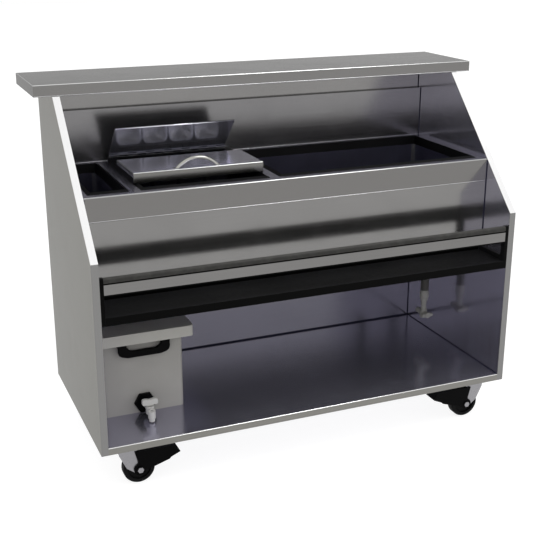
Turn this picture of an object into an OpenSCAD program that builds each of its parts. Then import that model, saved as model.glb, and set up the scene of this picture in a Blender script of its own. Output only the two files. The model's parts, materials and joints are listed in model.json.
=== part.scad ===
// Mobile bar on casters: sloping side panels, raised bar top, work deck with sunken bins,
// cocktail station, bottle rail and a waste tank on the floor.
// Origin at floor level under the middle of the bounding box, +Z up, front at -Y, millimetres.
// Placement comes from the corners of the neighbouring piece, so every fit follows its driving value.

/* [Cabinet] */
// Width over the two side panels
body_w = 1416; // [1320:2:1600]
// Depth from the front plane to the back panel
body_d = 638.4; // [620:0.2:680]
// Height of the side panels
body_h = 1008; // [990:1:1040]
// Height of the knee where the sloping edges start
knee_h = 600; // [585:1:640]
// Depth that the sloping edges cover
rake_d = 397.2; // [380:0.2:410]
// Thickness of the double-skinned panels
wall_t = 22; // [18:1:26]
// Thickness of the stainless sheet
sheet = 1.5; // [1.2:0.1:2]
// Depth of the folded floor pan
floor_t = 23; // [21:1:30]
// Outer radius of the fold along the floor's front edge
floor_fold = 3; // [2.5:0.5:5]
// Width of the channels under the floor
channel_w = 120; // [112:1:126]
// Wall thickness of the channels under the floor
channel_t = 3; // [2:0.5:4]

/* [Bar top] */
// Overhang of the bar top past each side panel
top_side = 54.5; // [40:0.5:70]
// Overhang of the bar top behind the back panel
top_back = 70.2; // [50:0.2:90]
// Step from the slope's upper end back to the bar top's front edge
top_step = 8; // [4:0.5:14]
// Thickness of the bar top
top_t = 35.5; // [30:0.5:45]
// Width of the returns folded under the bar top
top_return = 80; // [78:1:90]
// Outer radius of the folds along the bar top's upper edges
top_fold = 3; // [2.5:0.5:5]

/* [Work deck] */
// Height of the deck above the side panels' lower edge
deck_h = 753; // [740:1:765]
// Distance from the front plane back to the deck's front edge
deck_in = 147.2; // [140:0.2:156]
// Height of the lip folded down in front of the deck
deck_lip = 76; // [60:1:90]
// Height of the flanges folded down at the deck's ends
deck_flange = 40; // [30:1:50]
// Outer radius of the fold along the deck's front edge
deck_fold = 5; // [3.5:0.5:8]
// Height of the apron's overlap behind the lip
apron_lap = 15; // [10:1:20]
// Height of the backsplash above the deck
splash_h = 175; // [165:1:185]
// Depth of the ledge on top of the backsplash
splash_ledge = 19.2; // [16:0.2:22]

/* [Bins] */
// Deck strip in front of the bins' collars
bin_front = 28; // [27:0.5:34]
// Deck strip behind the collars
bin_back = 27; // [26:0.5:32]
// Deck strip between the left side panel and the well
well_side = 18; // [17:0.5:24]
// Width of the well's collar
well_w = 128; // [118:1:136]
// Deck strip between the well and the cocktail station
strip_left = 33; // [32.5:0.5:40]
// Width of the cocktail station's collar
station_w = 415; // [411:1:430]
// Deck strip between the cocktail station and the ice bin
strip_right = 31; // [31:0.5:38]
// Deck strip between the ice bin and the right side panel
ice_side = 27; // [26:0.5:34]
// Width of the collars' sloping outer face
rim_w = 11; // [9:0.5:12]
// Height of the collars above the deck
rim_h = 5.5; // [4:0.5:6]
// Height of the collars' inner wall
rim_deep = 29.5; // [24:0.5:32]
// Inward taper of the collars' inner wall
rim_taper = 6; // [4:0.5:7]
// Width of the collars' tongue in the deck's openings
tongue_in = 8; // [7.5:0.25:8.5]
// Clearance of the collars in the deck's openings
tongue_gap = 0.3; // [0.2:0.05:0.5]
// Depth of the bins below the deck
bin_deep = 356; // [330:1:360]
// Bevel at the bins' upright corners
bin_bevel = 10; // [6:1:14]
// Width of the bins' flanges under the deck
bin_flange = 21.5; // [18:0.5:21.5]
// Thickness of the ice bin's insulation
foam_t = 25; // [18:1:25.5]

/* [Bottle rail] */
// Height of the rail's floor above the side panels' lower edge
rail_h = 436; // [425:1:450]
// Thickness of the rail's tray
tray_t = 3; // [2:0.5:4]
// Height of the tray's front lip
tray_lip = 25; // [18:1:32]
// Height of the tray's rear upstand
tray_back = 17; // [12:1:24]
// Gap between the rail's floor and its bar
rail_gap = 64; // [56:1:72]
// Height of the rail's bar
rail_bar_h = 40; // [38:1:46]
// Thickness of the rail's bar
rail_bar_t = 12; // [10:1:13]
// Height of the bright strip on the bar
strip_h = 32; // [26:1:34]
// Height of the strip above the bar's lower edge
strip_up = 5; // [3:0.5:6]
// Diameter of the rounded lip on the bar
lip_d = 16; // [14:0.5:20]
// Thickness of the rail's end plates
end_t = 12; // [8:1:14]

/* [Cocktail station] */
// Overhang of the frame and cover past the collar
frame_over = 3; // [2.5:0.25:4]
// Height of the frame above the deck
frame_h = 22; // [20:1:26]
// Height of the frame's lower edge over the collar
frame_lift = 6.5; // [6.2:0.1:8]
// Depth of the frame's front and middle bars
frame_bar = 14; // [10:1:18]
// Distance from the collar's rear edge to the frame's rear edge
frame_back = 6; // [4:0.5:8]
// Wall thickness of the frame's pan shelf
shelf_t = 3; // [2:0.5:3.5]
// Depth of the pan shelf below the frame's top
shelf_deep = 6; // [4:0.5:8]
// Distance from the collar's front edge back to the cover
cover_in = 68; // [60:1:76]
// Height of the cover's side flanges
cover_h = 15; // [12:1:18]
// Height of the cover's front flange
cover_front = 31; // [24:1:31]
// Outer radius of the folds along the cover's edges
cover_fold = 3; // [2.5:0.5:5]
// Length of the cover's bow handle between its feet
bow_l = 145; // [110:1:160]
// Height of the bow handle
bow_h = 34; // [28:1:40]
// Diameter of the bow handle's rod
bow_d = 11; // [6:0.5:12]
// Distance from the cover's front edge to the bow handle
bow_in = 16; // [14:1:30]
// Distance from the middle of the cover to the middle of the bow handle
bow_off = 3; // [0:1:12]
// Length of the lid along its hinge
lid_w = 402; // [380:1:406]
// Length of the lid from its hinge to its free edge
lid_l = 143; // [124:1:150]
// Angle of the open lid above level
lid_open = 45; // [30:1:60]
// Width of the return along the lid's folded edges
hem_w = 8; // [5:0.5:12]
// Height of the lid's folded edges
hem_h = 6; // [4:0.5:8]
// Distance from the frame's rear edge to the hinge axis
hinge_in = 13; // [11:0.5:15]
// Outer radius of the hinge knuckles
knuckle_r = 3.8; // [3.5:0.1:4.5]
// Radius of the hinge pin
pin_r = 1.75; // [1.25:0.25:2]
// Running clearance on the hinge pin
pin_gap = 0.06; // [0.04:0.01:0.1]
// Width of a pan's rim
pan_w = 84; // [76:1:86]
// Length of a pan's rim
pan_l = 80; // [72:1:86]
// Space between neighbouring pans
pan_space = 6; // [4:0.5:8]
// Depth of the pans
pan_deep = 90; // [60:1:110]
// Corner radius of the pans' rims
pan_r = 20; // [14:1:24]
// Width of the pans' rims outside their walls
pan_rim = 4; // [3:0.5:5]
// Radius of the pans' lower edges
pan_foot = 10; // [6:1:12]

/* [Ice bin drain] */
// Distance from the right side panel to the drain
drain_side = 77; // [70:1:90]
// Distance from the front plane to the drain
drain_in = 374.2; // [350:0.2:400]
// Height of the lower end of the threaded pipe
drain_h = 219; // [200:1:240]
// Diameter of the threaded pipe
drain_d = 30; // [26:1:31]
// Pitch of the pipe's thread
drain_pitch = 4; // [3:0.5:5]
// Depth of the pipe's thread
drain_cut = 1.2; // [0.8:0.1:1.5]
// Width of the pipe's flange inside the bin
drain_flange = 9; // [6:0.5:12]
// Thickness of that flange
drain_flange_t = 2; // [1.5:0.5:3]
// Wall thickness of the pipe under its thread
drain_wall = 3.3; // [2.5:0.1:3.5]
// Diameter of the drain's coupling
coupling_d = 33; // [32:1:38]
// Height of the drain's coupling
coupling_h = 40; // [34:1:46]
// Diameter of the tube under the coupling
tube_d = 20; // [18:1:22]
// Height of the tube under the coupling
tube_h = 36; // [30:1:44]
// Diameter of the valve's housing
valve_d = 26; // [24:1:30]
// Height of the valve's housing
valve_h = 30; // [26:1:36]
// Diameter of the valve's outlet
outlet_d = 20; // [18:1:22]
// Reach of the outlet behind the valve's axis
outlet_l = 40; // [30:1:46]
// Width of the valve's T-bar
wing_w = 44; // [38:1:50]
// Height of the valve's T-bar
wing_h = 11; // [8:1:14]
// Depth of the valve's T-bar
wing_l = 18; // [14:1:22]

/* [Waste tank] */
// Distance from the left side panel to the tank's lid
tank_side = 8; // [5:0.5:14]
// Distance from the front plane to the tank's lid
tank_in = 165.7; // [155:0.1:185]
// Width of the tank's lid
tank_w = 320; // [290:1:340]
// Depth of the tank's lid
tank_l = 398; // [360:1:410]
// Height of the tank with its lid
tank_h = 283; // [260:1:300]
// Overhang of the lid past the tank's walls
tank_over = 29; // [26:0.5:32]
// Height of the lid's skirt
skirt_h = 35; // [30:1:40]
// Wall thickness of the tank and its lid
tank_t = 4; // [3:0.5:5]
// Corner radius of the tank's walls
tank_r = 12; // [8:1:18]
// Width of the tank's handle
grip_w = 166; // [140:1:180]
// Height of the handle's lower edge above the floor
grip_h = 202; // [190:1:210]
// Height of the handle's grip bar
grip_bar = 21; // [16:1:25]
// Width of the handle's legs
grip_leg = 28; // [22:1:32]
// Height of the tap's axis above the floor
tap_h = 35; // [33.5:0.5:42]
// Width of the bulkhead nut across its flats
nut_af = 61; // [54:1:63]
// Thickness of the bulkhead nut
nut_t = 12; // [9:1:15]
// Thickness of the handle's plate
grip_t = 12; // [8:1:14]
// Diameter of the tap's barrel
barrel_d = 20; // [16:1:22]
// Length of the tap's barrel in front of the tank
barrel_l = 80.5; // [76:0.5:90]
// Diameter of the tap's valve body
tap_d = 26; // [23:1:28]
// Width of the tap's T-bar
tbar_w = 50; // [42:1:58]
// Height of the tap's T-bar
tbar_h = 16; // [12:1:18]
// Depth of the tap's T-bar
tbar_l = 10; // [7:0.5:12]
// Diameter of the tap's spout
spout_d = 24; // [20:1:26]
// Bore of the tap
tap_bore = 12; // [9:0.5:13]

/* [Casters] */
// Height of the side panels' lower edge above the ground
caster_h = 134; // [133:0.5:140]
// Diameter of the wheels
wheel_d = 100; // [96:1:100]
// Width of the wheels
wheel_w = 32; // [28:1:33]
// Distance from the middle of the cabinet to the casters' swivel axes
caster_x = 620; // [600:1:624]
// Distance from the front and back planes to the swivel axes
caster_in = 54.2; // [46:0.1:60]
// Trail of the wheels behind their swivel axes
trail = 35; // [30:1:38]
// Thickness of the forks' sheet
fork_t = 3; // [2.5:0.1:3.5]
// Radius of the axle bolts
axle_r = 5; // [4:0.25:6]
// Running clearance on the axle bolts
axle_gap = 0.06; // [0.04:0.01:0.1]
// Radius of the kingpins
king_r = 6; // [5:0.25:7]
// Running clearance on the kingpins
king_gap = 0.06; // [0.04:0.01:0.1]
// Length of the casters' top plates along the cabinet
plate_l = 100; // [92:1:104]
// Width of the casters' top plates
plate_w = 85; // [76:1:88]
// Thickness of the casters' top plates
plate_t = 4; // [3:0.5:5]
// Radius of the plate bolts
bolt_r = 4; // [3:0.25:4.5]
// Length of the brake pedal from the swivel axis
pedal_l = 165; // [150:1:168]
// Thickness of the brake's cheeks
cheek_t = 4.5; // [3.5:0.5:5.5]
// Thickness of the brake's tread
tread_t = 4; // [3:0.5:5]

/* [Hidden] */
$fn = 96;
cut = 1;
hex_k = 1 / cos(30);
half_w = body_w / 2;
in_w = half_w - wall_t;
front = -(body_d + top_back) / 2;
rear = front + body_d;
base_z = caster_h;
floor_z = base_z + floor_t;
side_z = base_z + body_h;
knee_z = base_z + knee_h;
rise = body_h - knee_h;
rake_l = sqrt(rake_d * rake_d + rise * rise);
liner_y = rear - wall_t;
deck_y0 = front + deck_in;
deck_z = base_z + deck_h;
splash_y = liner_y - splash_ledge;

// The three openings of the deck, as the outer edges of their collars
bin_y0 = deck_y0 + bin_front;
bin_y1 = splash_y - bin_back;
well_x0 = -in_w + well_side;
well_x1 = well_x0 + well_w;
station_x0 = well_x1 + strip_left;
station_x1 = station_x0 + station_w;
ice_x0 = station_x1 + strip_right;
ice_x1 = in_w - ice_side;
wall_in = rim_w + rim_taper;
rim_low = deck_z + rim_h - rim_deep;
bin_z = deck_z - bin_deep;

// Bottle rail
rail_z = base_z + rail_h;
bar_z0 = rail_z + rail_gap;
bar_z1 = bar_z0 + rail_bar_h;
rail_in = in_w - end_t;

// Cocktail station
frame_x0 = station_x0 - frame_over;
frame_x1 = station_x1 + frame_over;
frame_y1 = bin_y1 - frame_back;
frame_z0 = deck_z + frame_lift;
frame_z1 = deck_z + frame_h;
cover_y0 = bin_y0 + cover_in;
cover_z = frame_z1 + cover_h;
frame_y0 = cover_y0 + sheet + tongue_gap;
hinge_y = frame_y1 - hinge_in;
plate_up = 3;
web_t = 1;
lid_tail = 2;
turn_gap = 0.3;
leaf_t = 1.2;
riser_half = 3.5;
riser_gap = 0.7;
hinge_z = frame_z1 + leaf_t + riser_gap + knuckle_r;
shelf_in = wall_in + tongue_gap;
shelf_x0 = station_x0 + shelf_in;
shelf_x1 = station_x1 - shelf_in;
pan_edge = 6;
shelf_back = 15;
shelf_y1 = hinge_y - riser_half - shelf_back;
shelf_y0 = shelf_y1 - pan_l - 2 * pan_edge;
shelf_z1 = frame_z1 - shelf_deep;
shelf_z0 = shelf_z1 - shelf_t;
cover_y1 = shelf_y0;
pan_count = 4;
pan_pitch = pan_w + pan_space;
pan_y = (shelf_y0 + shelf_y1) / 2;
pan_x = (shelf_x0 + shelf_x1) / 2 - pan_pitch * (pan_count - 1) / 2;
pan_gap = 0.5;
lid_x0 = station_x0;
knuckles = 13;
knuckle_gap = 0.4;
bow_x = (frame_x0 + frame_x1) / 2 - bow_off;
bow_y = cover_y0 + bow_in;
bow_foot = 3;
bow_foot_t = 2;
bow_big = (bow_l * bow_l / 4 + bow_h * bow_h) / (2 * bow_h);

// Drain under the ice bin
drain_x = in_w - drain_side;
drain_y = front + drain_in;
drain_z = base_z + drain_h;
drain_r = drain_d / 2;
hole_gap = 0.3;
spigot_r = drain_r - drain_cut - 1.8;
spigot_l = 15;
drain_bore = drain_r - drain_cut - drain_wall;
socket_gap = 0.1;
core_w = 4;
ring_h = 4;
nut_up = 12;
nut_sides = 12;
outlet_r = 7;
stem_r = 4;
stem_gap = 0.06;
face_gap = 0.3;
valve_z = drain_z - coupling_h - tube_h;
knob_z = valve_z - valve_h / 2;
knob_in = 2.5;
neck_l = 2;
wing_in = 2;
wing_round = 4;

// Waste tank
tank_x0 = -in_w + tank_side;
tank_x1 = tank_x0 + tank_w;
tank_y0 = front + tank_in;
tank_y1 = tank_y0 + tank_l;
tank_z1 = floor_z + tank_h;
body_y0 = tank_y0 + tank_over;
tap_x = (tank_x0 + tank_x1) / 2;
tap_z = floor_z + tap_h;
tap_front = 7;
tap_y = body_y0 - barrel_l + tap_d / 2 + tap_front;
spout_y = body_y0 - barrel_l + 1;
spout_up = 4;
spout_step = 15;
spout_in = 2.75;
spout_over = 4;
lock_t = 6;
lock_w = 6;
plug_gap = 1;
plug_deep = 12;
tap_stem = 5;
dome_h = 6;
grip_z0 = floor_z + grip_h;
grip_gap = 1;
grip_top = 14;
grip_slope_w = 19;
grip_slope_h = 16;
grip_corner = 8;

// Casters
axle_z = wheel_d / 2;
caster_y = [front + caster_in, rear - caster_in];
race_r = 30;
race_t = 6;
race_gap = 0.3;
plate_r = 8;
plate_z = base_z - plate_t;
fork_z = plate_z - race_t - race_gap;
fork_low = fork_z - fork_t;
fork_in = wheel_w / 2 + 2.5;
fork_out = fork_in + fork_t;
fork_nose = 30;
fork_tail = 28;
boss_r = 18;
rivet_w = 4;
rivet_t = 4;
hub_w = fork_in - 0.3;
hub_r = 12;
rim_r = 37;
rim_in = 6;
tire_round = 5;
cheek_in = fork_out + 0.5;
cheek_out = cheek_in + cheek_t;
cheek_r = 19;
head_t = 6;
head_gap = 0.3;
head_af = 17;
bolt_x = 40;
bolt_y = 30;
bolt_gap = 0.5;
bolt_up = 6;
bolt_head = 5;
bolt_af = 1.6;
brake_z = fork_z - 12;
heel_x = [15, 6];
heel_up = [26, 8];
sole_in = 12;
sole_down = 5;
pedal_in = [81, 36, 30, 14];
pedal_up = [3, 17, 23, 36];
tread_in = 3;
brake_room = wheel_d / 2 + 3;

// Solid box from one corner to the opposite one
module block(a, b) {
    translate(a)
        cube(b - a);
}

// Profile in Y and Z drawn along X
module along_x(x0, x1) {
    translate([x0, 0, 0])
        rotate([90, 0, 90])
            linear_extrude(x1 - x0)
                children();
}

// Profile in X and Z drawn along Y
module along_y(y0, y1) {
    translate([0, y1, 0])
        rotate([90, 0, 0])
            linear_extrude(y1 - y0)
                children();
}

// Box between two corners whose four sides lean inward by "lean" from bottom to top
module leaning(a, b, lean) {
    intersection() {
        along_y(a[1], b[1])
            polygon([[a[0], a[2]], [b[0], a[2]], [b[0] - lean, b[2]], [a[0] + lean, b[2]]]);
        along_x(a[0], b[0])
            polygon([[a[1], a[2]], [b[1], a[2]], [b[1] - lean, b[2]], [a[1] + lean, b[2]]]);
    }
}

// Box whose four upright corners are cut off
module cut_corners(a, b, c) {
    translate([0, 0, a[2]])
        linear_extrude(b[2] - a[2])
            polygon([
                [a[0] + c, a[1]], [b[0] - c, a[1]], [b[0], a[1] + c], [b[0], b[1] - c],
                [b[0] - c, b[1]], [a[0] + c, b[1]], [a[0], b[1] - c], [a[0], a[1] + c]
            ]);
}

// Rectangle from p to q with four round corners
module round_rect(p, q, r) {
    translate([p[0] + r, p[1]])
        square([q[0] - p[0] - 2 * r, q[1] - p[1]]);
    translate([p[0], p[1] + r])
        square([q[0] - p[0], q[1] - p[1] - 2 * r]);
    for (x = [p[0] + r, q[0] - r])
        for (y = [p[1] + r, q[1] - r])
            translate([x, y])
                circle(r);
}

// Rectangle from p to q with its upper corners at the x values in "folds" rounded
module folded_rect(p, q, r, folds) {
    translate(p)
        square([q[0] - p[0], q[1] - p[1] - r]);
    translate([p[0] + r, p[1]])
        square([q[0] - p[0] - (len(folds) > 1 ? 2 : 1) * r, q[1] - p[1]]);
    for (x = folds)
        translate([x, q[1] - r])
            circle(r);
}

// Profile of a sheet folded down at its front and back edges
module two_folds(p, q, r) {
    folded_rect(p, q, r, [p[0] + r, q[0] - r]);
}

// Profile of a sheet folded down at its front edge only
module front_fold(p, q, r) {
    folded_rect(p, q, r, [p[0] + r]);
}

// Box whose four upper edges are folds
module folded_box(a, b, r) {
    intersection() {
        along_x(a[0], b[0])
            two_folds([a[1], a[2]], [b[1], b[2]], r);
        along_y(a[1], b[1])
            two_folds([a[0], a[2]], [b[0], b[2]], r);
    }
}

// Box whose four upright corners are round
module round_corners(a, b, r) {
    translate([0, 0, a[2]])
        linear_extrude(b[2] - a[2])
            round_rect([a[0], a[1]], [b[0], b[1]], r);
}

// Tub with round upright corners of radius r and round lower edges of radius e
module tub(a, b, r, e) {
    intersection() {
        round_corners(a, b, r);
        along_x(a[0], b[0])
            mirror([0, 1])
                two_folds([a[1], -b[2]], [b[1], -a[2]], e);
        along_y(a[1], b[1])
            mirror([0, 1])
                two_folds([a[0], -b[2]], [b[0], -a[2]], e);
    }
}

// Rod along Y between two values of y
module rod_y(x, z, y0, y1, r) {
    translate([x, y0, z])
        rotate([-90, 0, 0])
            cylinder(r = r, h = y1 - y0);
}

// Rod along X between two values of x
module rod_x(y, z, x0, x1, r) {
    translate([x0, y, z])
        rotate([0, 90, 0])
            cylinder(r = r, h = x1 - x0);
}

// Outline of a side panel in Y and Z, drawn "d" inside its outer edges
function side_outline(d) = [
    [front + d, base_z + d],
    [rear - d, base_z + d],
    [rear - d, side_z - d],
    [front + rake_d + d * (rake_l - rake_d) / rise, side_z - d],
    [front + d, knee_z - d * (rake_l - rise) / rake_d]
];

module left_skin() {
    color("silver")
        difference() {
            along_x(-half_w, -in_w)
                polygon(side_outline(0));
            along_x(-half_w + sheet, -in_w + cut)
                polygon(side_outline(sheet));
        }
}

module left_liner() {
    color("gray")
        along_x(-in_w - sheet, -in_w)
            polygon(side_outline(sheet));
}

module right_skin() {
    mirror([1, 0, 0])
        left_skin();
}

module right_liner() {
    mirror([1, 0, 0])
        left_liner();
}

module back_skin() {
    color("silver")
        difference() {
            block([-in_w, liner_y, floor_z], [in_w, rear, side_z]);
            block(
                [-in_w + sheet, liner_y - cut, floor_z + sheet],
                [in_w - sheet, rear - sheet, side_z - sheet]
            );
        }
}

module back_liner() {
    color("gray")
        block([-in_w + sheet, liner_y, floor_z + sheet], [in_w - sheet, liner_y + sheet, side_z - sheet]);
}

module base_pan() {
    color("silver")
        difference() {
            along_x(-in_w, in_w)
                front_fold([front, base_z], [rear, floor_z], floor_fold);
            along_x(-in_w + sheet, in_w - sheet)
                front_fold(
                    [front + sheet, base_z - cut], [rear - sheet, floor_z - sheet],
                    floor_fold - sheet
                );
        }
}

// Four bolt holes for each caster, through everything from z0 to z1
module bolt_holes(z0, z1, r) {
    for (sx = [-1, 1])
        for (y = caster_y)
            for (dx = [-bolt_x, bolt_x])
                for (dy = [-bolt_y, bolt_y])
                    translate([sx * caster_x + dx, y + dy, z0])
                        cylinder(r = r, h = z1 - z0);
}

module base_channels() {
    half = channel_w / 2;
    color("gray")
        difference() {
            for (sx = [-1, 1])
                translate([sx * caster_x, 0, 0])
                    difference() {
                        block([-half, front + floor_fold, base_z], [half, rear - sheet, floor_z - sheet]);
                        block(
                            [-half + channel_t, front, base_z + channel_t],
                            [half - channel_t, rear, floor_z]
                        );
                    }
            bolt_holes(base_z - cut, base_z + channel_t + cut, bolt_r + bolt_gap);
        }
}

module bar_top() {
    x1 = half_w + top_side;
    y0 = front + rake_d + top_step;
    y1 = rear + top_back;
    z1 = side_z + top_t;
    color("silver")
        difference() {
            folded_box([-x1, y0, side_z], [x1, y1, z1], top_fold);
            folded_box(
                [-x1 + sheet, y0 + sheet, side_z + sheet], [x1 - sheet, y1 - sheet, z1 - sheet],
                top_fold - sheet
            );
            block(
                [-x1 + top_return, y0 + top_return, side_z - cut],
                [x1 - top_return, y1 - top_return, side_z + 2 * sheet]
            );
        }
}

// The deck's opening under a collar whose outer edges run from x0 to x1
module deck_hole(x0, x1) {
    hole = tongue_in - tongue_gap;
    block(
        [x0 + hole, bin_y0 + hole, deck_z - sheet - cut],
        [x1 - hole, bin_y1 - hole, deck_z + cut]
    );
}

module deck() {
    y1 = splash_y + sheet;
    lip_z = deck_z - deck_lip;
    color("silver")
        difference() {
            union() {
                along_x(-in_w, in_w)
                    difference() {
                        front_fold([deck_y0, lip_z], [y1, deck_z], deck_fold);
                        front_fold(
                            [deck_y0 + sheet, lip_z - cut], [y1 - sheet, deck_z - sheet],
                            deck_fold - sheet
                        );
                        translate([deck_y0 + sheet, lip_z - cut])
                            square([y1 - deck_y0, deck_lip - deck_flange + cut]);
                    }
                for (x = [-in_w, in_w - sheet])
                    block([x, deck_y0 + deck_fold, deck_z - deck_flange], [x + sheet, y1, deck_z]);
            }
            deck_hole(well_x0, well_x1);
            deck_hole(station_x0, station_x1);
            deck_hole(ice_x0, ice_x1);
        }
}

module apron() {
    lip_z = deck_z - deck_lip;
    color("silver")
        along_x(-in_w, in_w)
            polygon([
                [deck_y0, rail_z + tray_back], [deck_y0 + sheet, rail_z + tray_back],
                [deck_y0 + sheet, lip_z - sheet], [deck_y0 + 2 * sheet, lip_z - sheet],
                [deck_y0 + 2 * sheet, lip_z + apron_lap], [deck_y0 + sheet, lip_z + apron_lap],
                [deck_y0 + sheet, lip_z], [deck_y0, lip_z]
            ]);
}

module backsplash() {
    z1 = deck_z + splash_h;
    color("silver")
        along_x(-in_w, in_w)
            polygon([
                [splash_y, deck_z], [splash_y + sheet, deck_z], [splash_y + sheet, z1 - sheet],
                [liner_y, z1 - sheet], [liner_y, z1], [splash_y, z1]
            ]);
}

module rail_tray() {
    y1 = deck_y0 + tray_t;
    color([0.1, 0.1, 0.1])
        along_x(-rail_in, rail_in)
            polygon([
                [front, rail_z - tray_lip], [front + tray_t, rail_z - tray_lip],
                [front + tray_t, rail_z - tray_t], [y1, rail_z - tray_t], [y1, rail_z + tray_back],
                [deck_y0, rail_z + tray_back], [deck_y0, rail_z], [front, rail_z]
            ]);
}

module rail_ends() {
    color([0.1, 0.1, 0.1])
        for (x = [-in_w, rail_in])
            block([x, front, rail_z - tray_lip], [x + end_t, deck_y0, bar_z1 + lip_d]);
}

module rail_bar() {
    y0 = front + sheet;
    color([0.1, 0.1, 0.1])
        block([-rail_in, y0, bar_z0], [rail_in, y0 + rail_bar_t, bar_z1]);
}

module rail_strip() {
    color("silver")
        block([-rail_in, front, bar_z0 + strip_up], [rail_in, front + sheet, bar_z0 + strip_up + strip_h]);
}

module rail_lip() {
    r = lip_d / 2;
    color([0.25, 0.25, 0.26])
        intersection() {
            union() {
                block([-rail_in, front, bar_z1], [rail_in, front + lip_d, bar_z1 + r]);
                rod_x(front + r, bar_z1 + r, -rail_in, rail_in, r);
            }
            block([-rail_in, front, bar_z1], [rail_in, front + lip_d, bar_z1 + lip_d]);
        }
}

// Collar round an opening: a low sloping rim on the deck and a tapering wall inside
module collar(x0, x1) {
    low = rim_low;
    top = deck_z + rim_h;
    color([0.1, 0.1, 0.1])
        difference() {
            union() {
                leaning([x0, bin_y0, deck_z], [x1, bin_y1, top], rim_w);
                block(
                    [x0 + tongue_in, bin_y0 + tongue_in, low],
                    [x1 - tongue_in, bin_y1 - tongue_in, deck_z + cut]
                );
            }
            mirror([0, 0, 1])
                leaning([x0 + rim_w, bin_y0 + rim_w, -top], [x1 - rim_w, bin_y1 - rim_w, -low], rim_taper);
        }
}

module well_collar() {
    collar(well_x0, well_x1);
}

module station_collar() {
    collar(station_x0, station_x1);
}

module ice_collar() {
    collar(ice_x0, ice_x1);
}

// Outside of a bin's sheet: the deep part and the wider part round the collar's tongue
module bin_outside(x0, x1, grow, bottom) {
    a = wall_in - grow;
    b = tongue_in - grow;
    cut_corners([x0 + a, bin_y0 + a, bottom], [x1 - a, bin_y1 - a, rim_low], bin_bevel);
    block([x0 + b, bin_y0 + b, rim_low - grow], [x1 - b, bin_y1 - b, deck_z - sheet]);
}

// Sheet bin that hangs under the deck and carries its collar on a ledge
module bin_liner(x0, x1) {
    a = wall_in;
    b = tongue_in;
    f = tongue_in - bin_flange;
    color([0.3, 0.3, 0.34])
        difference() {
            union() {
                bin_outside(x0, x1, sheet, bin_z - sheet);
                block([x0 + f, bin_y0 + f, deck_z - 2 * sheet], [x1 - f, bin_y1 - f, deck_z - sheet]);
            }
            cut_corners([x0 + a, bin_y0 + a, bin_z], [x1 - a, bin_y1 - a, rim_low + cut], bin_bevel);
            block([x0 + b, bin_y0 + b, rim_low], [x1 - b, bin_y1 - b, deck_z]);
        }
}

module well_liner() {
    bin_liner(well_x0, well_x1);
}

module station_liner() {
    bin_liner(station_x0, station_x1);
}

module ice_liner() {
    difference() {
        bin_liner(ice_x0, ice_x1);
        translate([drain_x, drain_y, bin_z - sheet - cut])
            cylinder(r = drain_r + hole_gap, h = sheet + 2 * cut);
    }
}

module ice_shell() {
    out = wall_in - sheet - foam_t;
    bottom = bin_z - sheet - foam_t;
    color([0.55, 0.55, 0.55])
        difference() {
            block(
                [ice_x0 + out, bin_y0 + out, bottom],
                [ice_x1 - out, bin_y1 - out, deck_z - 2 * sheet]
            );
            bin_outside(ice_x0, ice_x1, sheet, bin_z - sheet);
            translate([drain_x, drain_y, bottom - cut])
                cylinder(r = drain_r + hole_gap, h = foam_t + 2 * cut);
        }
}

// Place for each knuckle of the hinge, counted from the left
function knuckle_x(i) = lid_x0 + lid_w * i / knuckles;

// Every second knuckle, starting at "first"
module knuckle_row(first) {
    for (i = [first : 2 : knuckles - 1])
        rod_x(
            hinge_y, hinge_z, knuckle_x(i) + knuckle_gap / 2, knuckle_x(i + 1) - knuckle_gap / 2, knuckle_r
        );
}

module station_frame() {
    hole_w = pan_w / 2 - pan_rim + pan_gap;
    hole_l = pan_l / 2 - pan_rim + pan_gap;
    color([0.1, 0.1, 0.1])
        difference() {
            union() {
                difference() {
                    block([frame_x0, frame_y0, frame_z0], [frame_x1, frame_y1, frame_z1]);
                    block(
                        [shelf_x0 + shelf_t, frame_y0 + frame_bar, frame_z0 - cut],
                        [shelf_x1 - shelf_t, shelf_y0 - frame_bar, frame_z1 + cut]
                    );
                    block(
                        [shelf_x0 + shelf_t, shelf_y0, frame_z0 - cut],
                        [shelf_x1 - shelf_t, shelf_y1, shelf_z0]
                    );
                    block(
                        [shelf_x0 + shelf_t, shelf_y0, shelf_z1],
                        [shelf_x1 - shelf_t, shelf_y1, frame_z1 + cut]
                    );
                }
                for (x = [frame_x0, station_x1 + tongue_gap])
                    block(
                        [x, frame_y0, deck_z],
                        [x + frame_over - tongue_gap, frame_y1, frame_z0 + shelf_t]
                    );
            }
            for (i = [0 : pan_count - 1])
                translate([pan_x + i * pan_pitch, pan_y, 0])
                    round_corners(
                        [-hole_w, -hole_l, shelf_z0 - cut], [hole_w, hole_l, shelf_z1 + cut],
                        pan_r - pan_rim + pan_gap
                    );
        }
}

// Fixed half of the long hinge: a strip on the frame, every second knuckle, and the pin held in them
module hinge_pin() {
    strip_z = hinge_z - knuckle_r - riser_gap;
    x1 = lid_x0 + lid_w;
    half_gap = knuckle_gap / 2;
    color("silver")
        union() {
            rod_x(hinge_y, hinge_z, lid_x0, x1, pin_r);
            block([lid_x0, hinge_y - riser_half, frame_z1], [x1, hinge_y + riser_half, strip_z]);
            for (i = [0 : 2 : knuckles - 1])
                block(
                    [knuckle_x(i) + half_gap, hinge_y - pin_r - web_t, strip_z - cut],
                    [knuckle_x(i + 1) - half_gap, hinge_y + pin_r + web_t, hinge_z]
                );
            knuckle_row(0);
        }
}

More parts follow.
